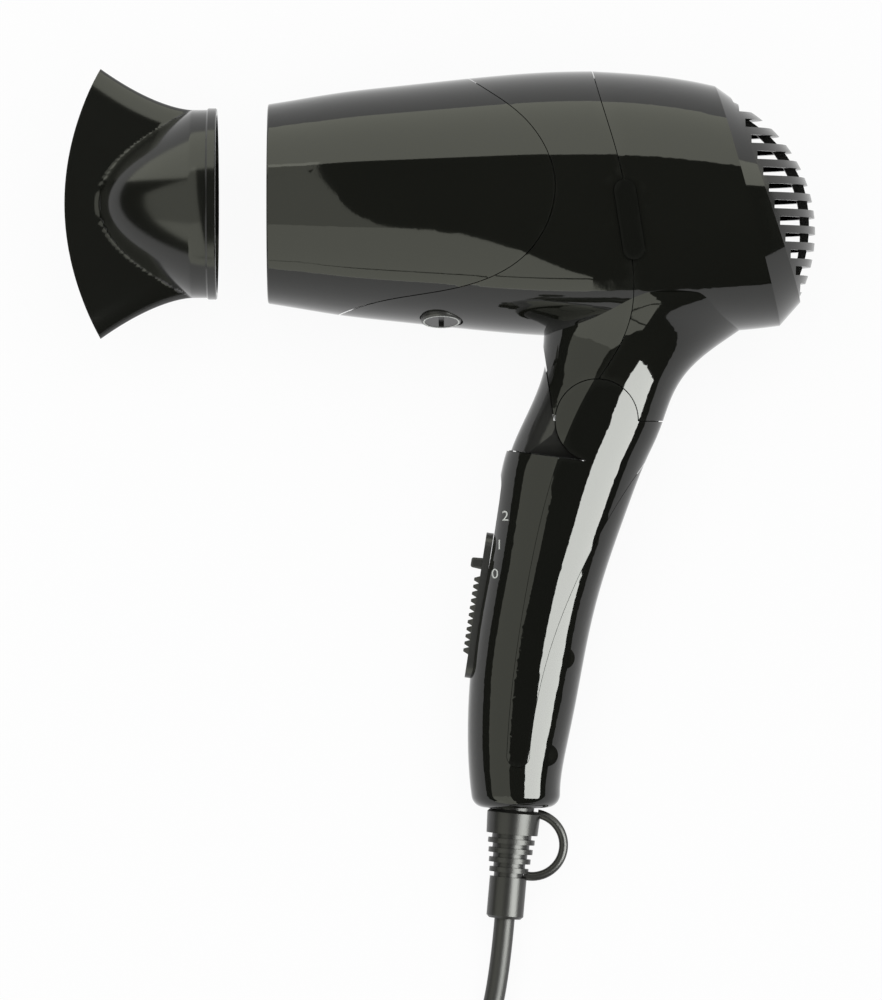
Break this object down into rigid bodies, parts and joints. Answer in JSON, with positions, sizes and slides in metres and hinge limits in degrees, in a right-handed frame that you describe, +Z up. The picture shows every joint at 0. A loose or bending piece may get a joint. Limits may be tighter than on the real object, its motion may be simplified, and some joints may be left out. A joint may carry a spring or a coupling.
{
  "type": "travel hair dryer",
  "caption": "Compact hair dryer with a folding pistol grip, detachable flat air nozzle, domed rear inlet, slide switch and cord.",
  "frame": {"origin": "centre of the barrel's mouth, on the barrel's axis", "axes": "-X points out of the mouth and +X to the rear inlet, the handle points to -Y, +Z is up from the surface that the dryer lies on"},
  "size_m": [0.225, 0.4978, 0.0817],
  "materials": {
    "gloss_shell": "high gloss olive-black moulded plastic",
    "gloss_trim": "piano black",
    "nozzle_plastic": "satin gloss olive-black",
    "grille_plastic": "satin black",
    "switch_plastic": "satin black",
    "inner_plastic": "matt black",
    "mica": "pale brown mica sheet",
    "nichrome": "bright heating wire",
    "steel": "plain",
    "circuit_board": "brown board",
    "lead_insulation": "grey insulation",
    "cord_rubber": "satin grey-black",
    "brass": "bright"
  },
  "bodies": {
    "housing": {"nose_cover": "gloss_shell", "front_housing": "gloss_shell", "rear_housing": "gloss_shell", "seam_clip_near": "gloss_trim", "seam_clip_far": "gloss_trim", "inlet_grille": "grille_plastic", "outlet_grille": "grille_plastic", "mica_sleeve": "mica", "heater_board_flat": "mica", "heater_board_upright": "mica", "heating_wire": "nichrome", "thermostat": "steel", "thermal_fuse": "steel", "motor_duct": "inner_plastic", "motor": "steel", "rectifier_board": "circuit_board", "hinge_core": "inner_plastic", "hinge_pin": "steel", "selector_block": "inner_plastic"},
    "fan": {"fan_wheel": "inner_plastic", "motor_shaft": "steel"},
    "dial": {"voltage_dial": "switch_plastic"},
    "nozzle": {"nozzle": "nozzle_plastic"},
    "handle": {"handle_near": "gloss_shell", "handle_far": "gloss_shell", "handle_trim": "gloss_trim", "switch_block": "inner_plastic", "switch_lead_near": "lead_insulation", "switch_lead_far": "lead_insulation", "cord_clamp": "inner_plastic", "handle_screw_upper": "steel", "handle_screw_lower": "steel", "strain_relief": "cord_rubber", "cord_lead": "cord_rubber", "cord_coil": "cord_rubber", "cord_tail": "cord_rubber", "plug_body": "cord_rubber", "plug_blade_left": "brass", "plug_blade_right": "brass"},
    "slider": {"slide_switch": "switch_plastic"}
  },
  "joints": [
    {"name": "handle_fold", "type": "hinge", "parent": "housing", "child": "handle", "pos_m": [0.0984, -0.06441, -0.00947], "axis": [0, -0.1454, 0.9894], "range_deg": [-72, 0]},
    {"name": "switch_slide", "type": "slide", "parent": "handle", "child": "slider", "axis": [0.1513, 0.978, 0.1437], "range_m": [0, 0.0176]},
    {"name": "nozzle_slide", "type": "slide", "parent": "housing", "child": "nozzle", "axis": [1, 0, 0], "range_m": [-0.06, 0.0233]},
    {"name": "dial_turn", "type": "hinge", "parent": "housing", "child": "dial", "pos_m": [0.052, -0.03687, 0.00626], "axis": [0, -0.9859, 0.1674], "range_deg": [0, 90]},
    {"name": "fan_spin", "type": "hinge", "parent": "housing", "child": "fan", "pos_m": [0.112, 0, 0], "axis": [1, 0, 0], "continuous": true}
  ]
}
